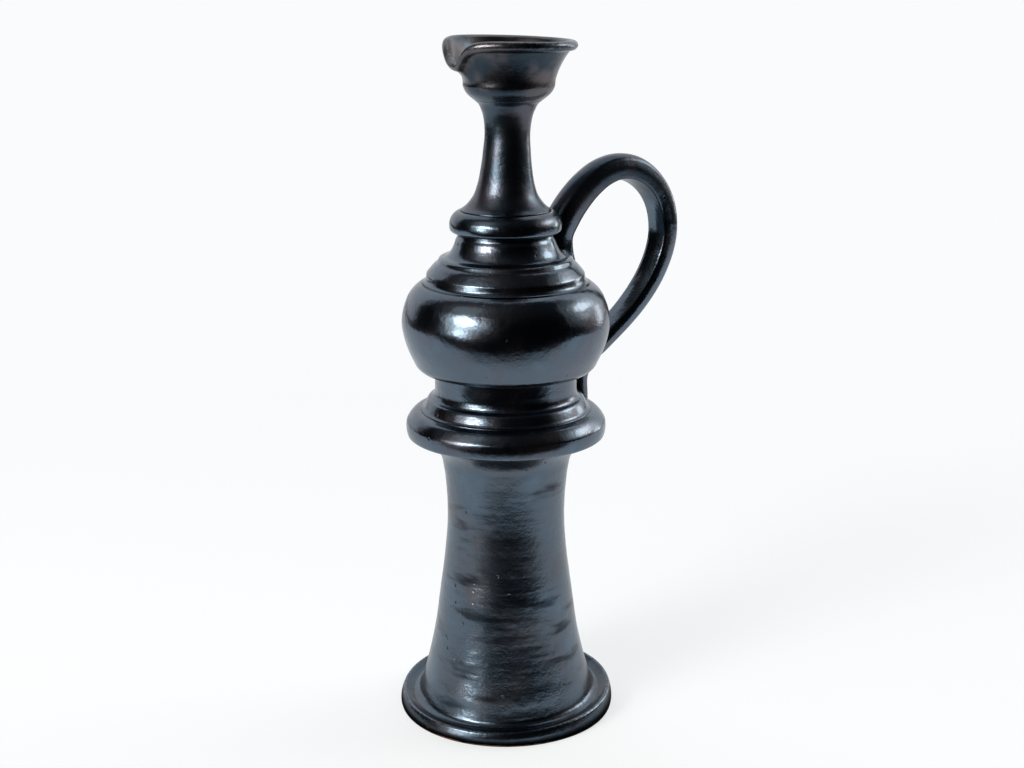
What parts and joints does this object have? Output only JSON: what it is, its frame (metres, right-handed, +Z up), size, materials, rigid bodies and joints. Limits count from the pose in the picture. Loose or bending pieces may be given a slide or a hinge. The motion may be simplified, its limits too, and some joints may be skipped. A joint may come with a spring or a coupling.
{
  "type": "oinochoe jug",
  "caption": "Tall footed pouring jug with a hollow pedestal, squat belly, slender neck, cup mouth pinched into a spout and one high strap handle.",
  "frame": {"origin": "on the jug's axis, in the plane of the standing ring, in the middle of the hollow foot", "axes": "+Z up along the axis the sections were thrown on, +X towards the handle, -X towards the spout"},
  "size_m": [0.1875, 0.1288, 0.3995],
  "materials": {
    "satin_black_glaze": "satin black glaze with a faint metallic sheen",
    "graphite_black_glaze": "drier black glaze, graphite grey over the throwing rings",
    "worn_black_glaze": "satin black glaze worn to bare terracotta along the standing edge",
    "clay_slip": "matt fired slip"
  },
  "bodies": {
    "root": {"foot_ring": "worn_black_glaze", "pedestal": "graphite_black_glaze", "flange": "satin_black_glaze", "waist_collar": "satin_black_glaze", "belly": "satin_black_glaze", "shoulder": "satin_black_glaze", "neck_ring": "satin_black_glaze", "neck": "satin_black_glaze", "mouth_cup": "satin_black_glaze", "handle": "satin_black_glaze", "slip_foot": "clay_slip", "slip_flange": "clay_slip", "slip_collar": "clay_slip", "slip_belly": "clay_slip", "slip_shoulder": "clay_slip", "slip_neck_ring": "clay_slip", "slip_neck": "clay_slip", "slip_cup": "clay_slip"}
  },
  "joints": []
}
